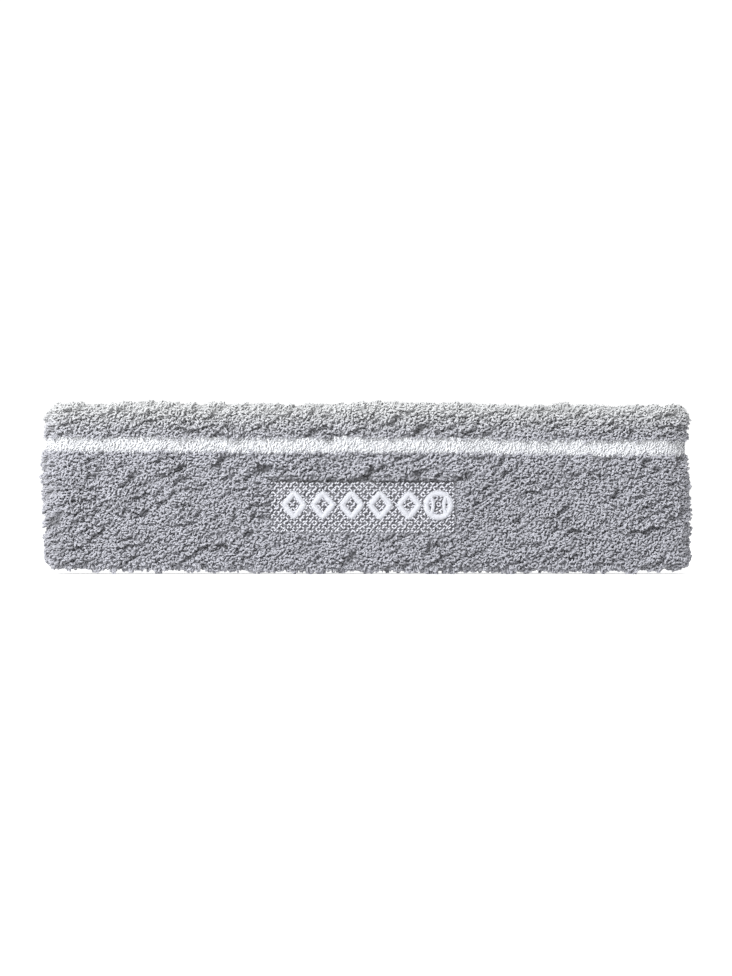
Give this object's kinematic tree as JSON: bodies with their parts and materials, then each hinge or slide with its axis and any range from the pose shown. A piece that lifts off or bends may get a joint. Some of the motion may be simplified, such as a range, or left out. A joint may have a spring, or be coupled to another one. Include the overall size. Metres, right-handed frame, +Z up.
{
  "type": "sports headband",
  "caption": "Closed loop of doubled grey towelling with a white stripe round it and an embroidered patch at the front; it opens from flat to round.",
  "frame": {"origin": "middle of the flat band, on the plane that its lower edge stands on", "axes": "+Z up along the axis of the loop, +X along the flat band to the right seen from the front, -Y towards the embroidered front"},
  "size_m": [0.188, 0.016, 0.05],
  "materials": {
    "grey_terry": "looped cotton pile, matte",
    "white_terry": "short looped pile, matte",
    "inner_grey_terry": "looped cotton pile, matte",
    "ground_knit": "fine knit, matte",
    "elastane": "covered thread",
    "seam_thread": "linked yarn, matte",
    "net_thread": "fine embroidery thread, light sheen",
    "satin_thread": "satin-stitched thread, sheen",
    "backing_fleece": "non-woven, matte",
    "lower_thread": "fine thread, matte"
  },
  "bodies": {
    "front_centre": {"front_centre_outer_terry": "grey_terry", "front_centre_stripe": "white_terry", "front_centre_inner_terry": "inner_grey_terry", "front_centre_ground_knit": "ground_knit", "front_centre_elastic_threads": "elastane", "front_centre_closing_seam": "seam_thread", "embroidery_net": "net_thread", "embroidery_figures": "satin_thread", "embroidery_backing": "backing_fleece", "bobbin_thread": "lower_thread"},
    "front_right": {"front_right_outer_terry": "grey_terry", "front_right_stripe": "white_terry", "front_right_inner_terry": "inner_grey_terry", "front_right_ground_knit": "ground_knit", "front_right_elastic_threads": "elastane", "front_right_closing_seam": "seam_thread"},
    "right_side": {"right_side_outer_terry": "grey_terry", "right_side_stripe": "white_terry", "right_side_inner_terry": "inner_grey_terry", "right_side_ground_knit": "ground_knit", "right_side_elastic_threads": "elastane", "right_side_closing_seam": "seam_thread"},
    "back_right": {"back_right_outer_terry": "grey_terry", "back_right_stripe": "white_terry", "back_right_inner_terry": "inner_grey_terry", "back_right_ground_knit": "ground_knit", "back_right_elastic_threads": "elastane", "back_right_closing_seam": "seam_thread"},
    "back_centre_right": {"back_centre_right_outer_terry": "grey_terry", "back_centre_right_stripe": "white_terry", "back_centre_right_inner_terry": "inner_grey_terry", "back_centre_right_ground_knit": "ground_knit", "back_centre_right_elastic_threads": "elastane", "back_centre_right_closing_seam": "seam_thread"},
    "front_left": {"front_left_outer_terry": "grey_terry", "front_left_stripe": "white_terry", "front_left_inner_terry": "inner_grey_terry", "front_left_ground_knit": "ground_knit", "front_left_elastic_threads": "elastane", "front_left_closing_seam": "seam_thread"},
    "left_side": {"left_side_outer_terry": "grey_terry", "left_side_stripe": "white_terry", "left_side_inner_terry": "inner_grey_terry", "left_side_ground_knit": "ground_knit", "left_side_elastic_threads": "elastane", "left_side_closing_seam": "seam_thread"},
    "back_left": {"back_left_outer_terry": "grey_terry", "back_left_stripe": "white_terry", "back_left_inner_terry": "inner_grey_terry", "back_left_ground_knit": "ground_knit", "back_left_elastic_threads": "elastane", "back_left_closing_seam": "seam_thread"},
    "back_centre_left": {"back_centre_left_outer_terry": "grey_terry", "back_centre_left_stripe": "white_terry", "back_centre_left_inner_terry": "inner_grey_terry", "back_centre_left_ground_knit": "ground_knit", "back_centre_left_elastic_threads": "elastane", "back_centre_left_closing_seam": "seam_thread"}
  },
  "joints": [
    {"name": "front_right_bend", "type": "hinge", "parent": "front_centre", "child": "front_right", "pos_m": [0.045, -0.003, 0.025], "axis": [0, 0, 1], "range_deg": [0, 60], "stiffness_Nm_per_rad": 0.003},
    {"name": "right_front_fold", "type": "hinge", "parent": "front_right", "child": "right_side", "pos_m": [0.09166, -0.00566, 0.025], "axis": [0, 0, -1], "range_deg": [0, 60]},
    {"name": "right_back_fold", "type": "hinge", "parent": "right_side", "child": "back_right", "pos_m": [0.09166, 0.00566, 0.025], "axis": [0, 0, -1], "range_deg": [0, 60]},
    {"name": "back_right_bend", "type": "hinge", "parent": "back_right", "child": "back_centre_right", "pos_m": [0.045, 0.003, 0.025], "axis": [0, 0, 1], "range_deg": [0, 60]},
    {"name": "front_left_bend", "type": "hinge", "parent": "front_centre", "child": "front_left", "pos_m": [-0.045, -0.003, 0.025], "axis": [0, 0, -1], "range_deg": [0, 60]},
    {"name": "left_front_fold", "type": "hinge", "parent": "front_left", "child": "left_side", "pos_m": [-0.09166, -0.00566, 0.025], "axis": [0, 0, 1], "range_deg": [0, 60]},
    {"name": "left_back_fold", "type": "hinge", "parent": "left_side", "child": "back_left", "pos_m": [-0.09166, 0.00566, 0.025], "axis": [0, 0, 1], "range_deg": [0, 60]},
    {"name": "back_left_bend", "type": "hinge", "parent": "back_left", "child": "back_centre_left", "pos_m": [-0.045, 0.003, 0.025], "axis": [0, 0, -1], "range_deg": [0, 60]}
  ],
  "couplings": [
    {"joint": "right_front_fold", "follows": "front_right_bend", "ratio": 1},
    {"joint": "right_back_fold", "follows": "front_right_bend", "ratio": 1},
    {"joint": "back_right_bend", "follows": "front_right_bend", "ratio": 1},
    {"joint": "front_left_bend", "follows": "front_right_bend", "ratio": 1},
    {"joint": "left_front_fold", "follows": "front_right_bend", "ratio": 1},
    {"joint": "left_back_fold", "follows": "front_right_bend", "ratio": 1},
    {"joint": "back_left_bend", "follows": "front_right_bend", "ratio": 1}
  ]
}
